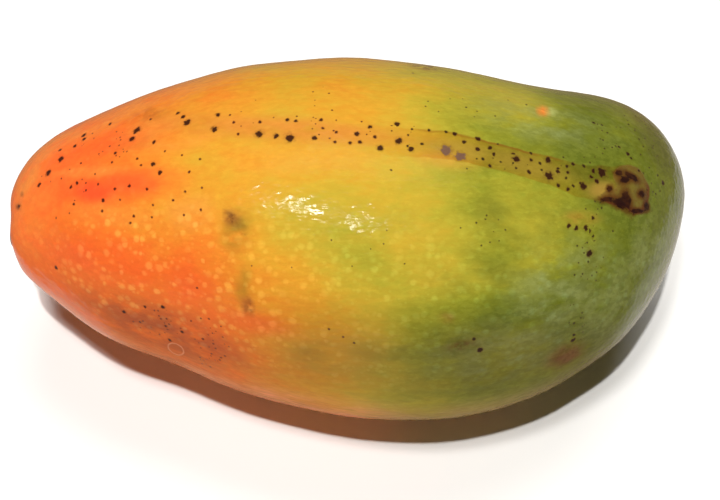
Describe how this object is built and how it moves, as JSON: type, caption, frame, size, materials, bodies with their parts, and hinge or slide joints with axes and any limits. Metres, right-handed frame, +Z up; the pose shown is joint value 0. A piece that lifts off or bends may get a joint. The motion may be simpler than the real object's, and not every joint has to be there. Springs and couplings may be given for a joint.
{
  "type": "mango",
  "caption": "Whole ripe mango lying on one cheek: blunt stem end with a corky scar, shallow belly hollow near the rounded tip, small flat resting spot.",
  "frame": {"origin": "on the ground, under the centre of the fruit's box", "axes": "+X from the stem end to the tip, +Y to the belly side, +Z up through the two cheeks"},
  "size_m": [0.1396, 0.0744, 0.0706],
  "materials": {
    "skin": "waxy semi-gloss fruit skin, orange-red at the stem end through yellow to green at the tip, with pale pores, dark sap spots and a dried sap crust"
  },
  "bodies": {
    "root": {"mango": "skin"}
  },
  "joints": []
}
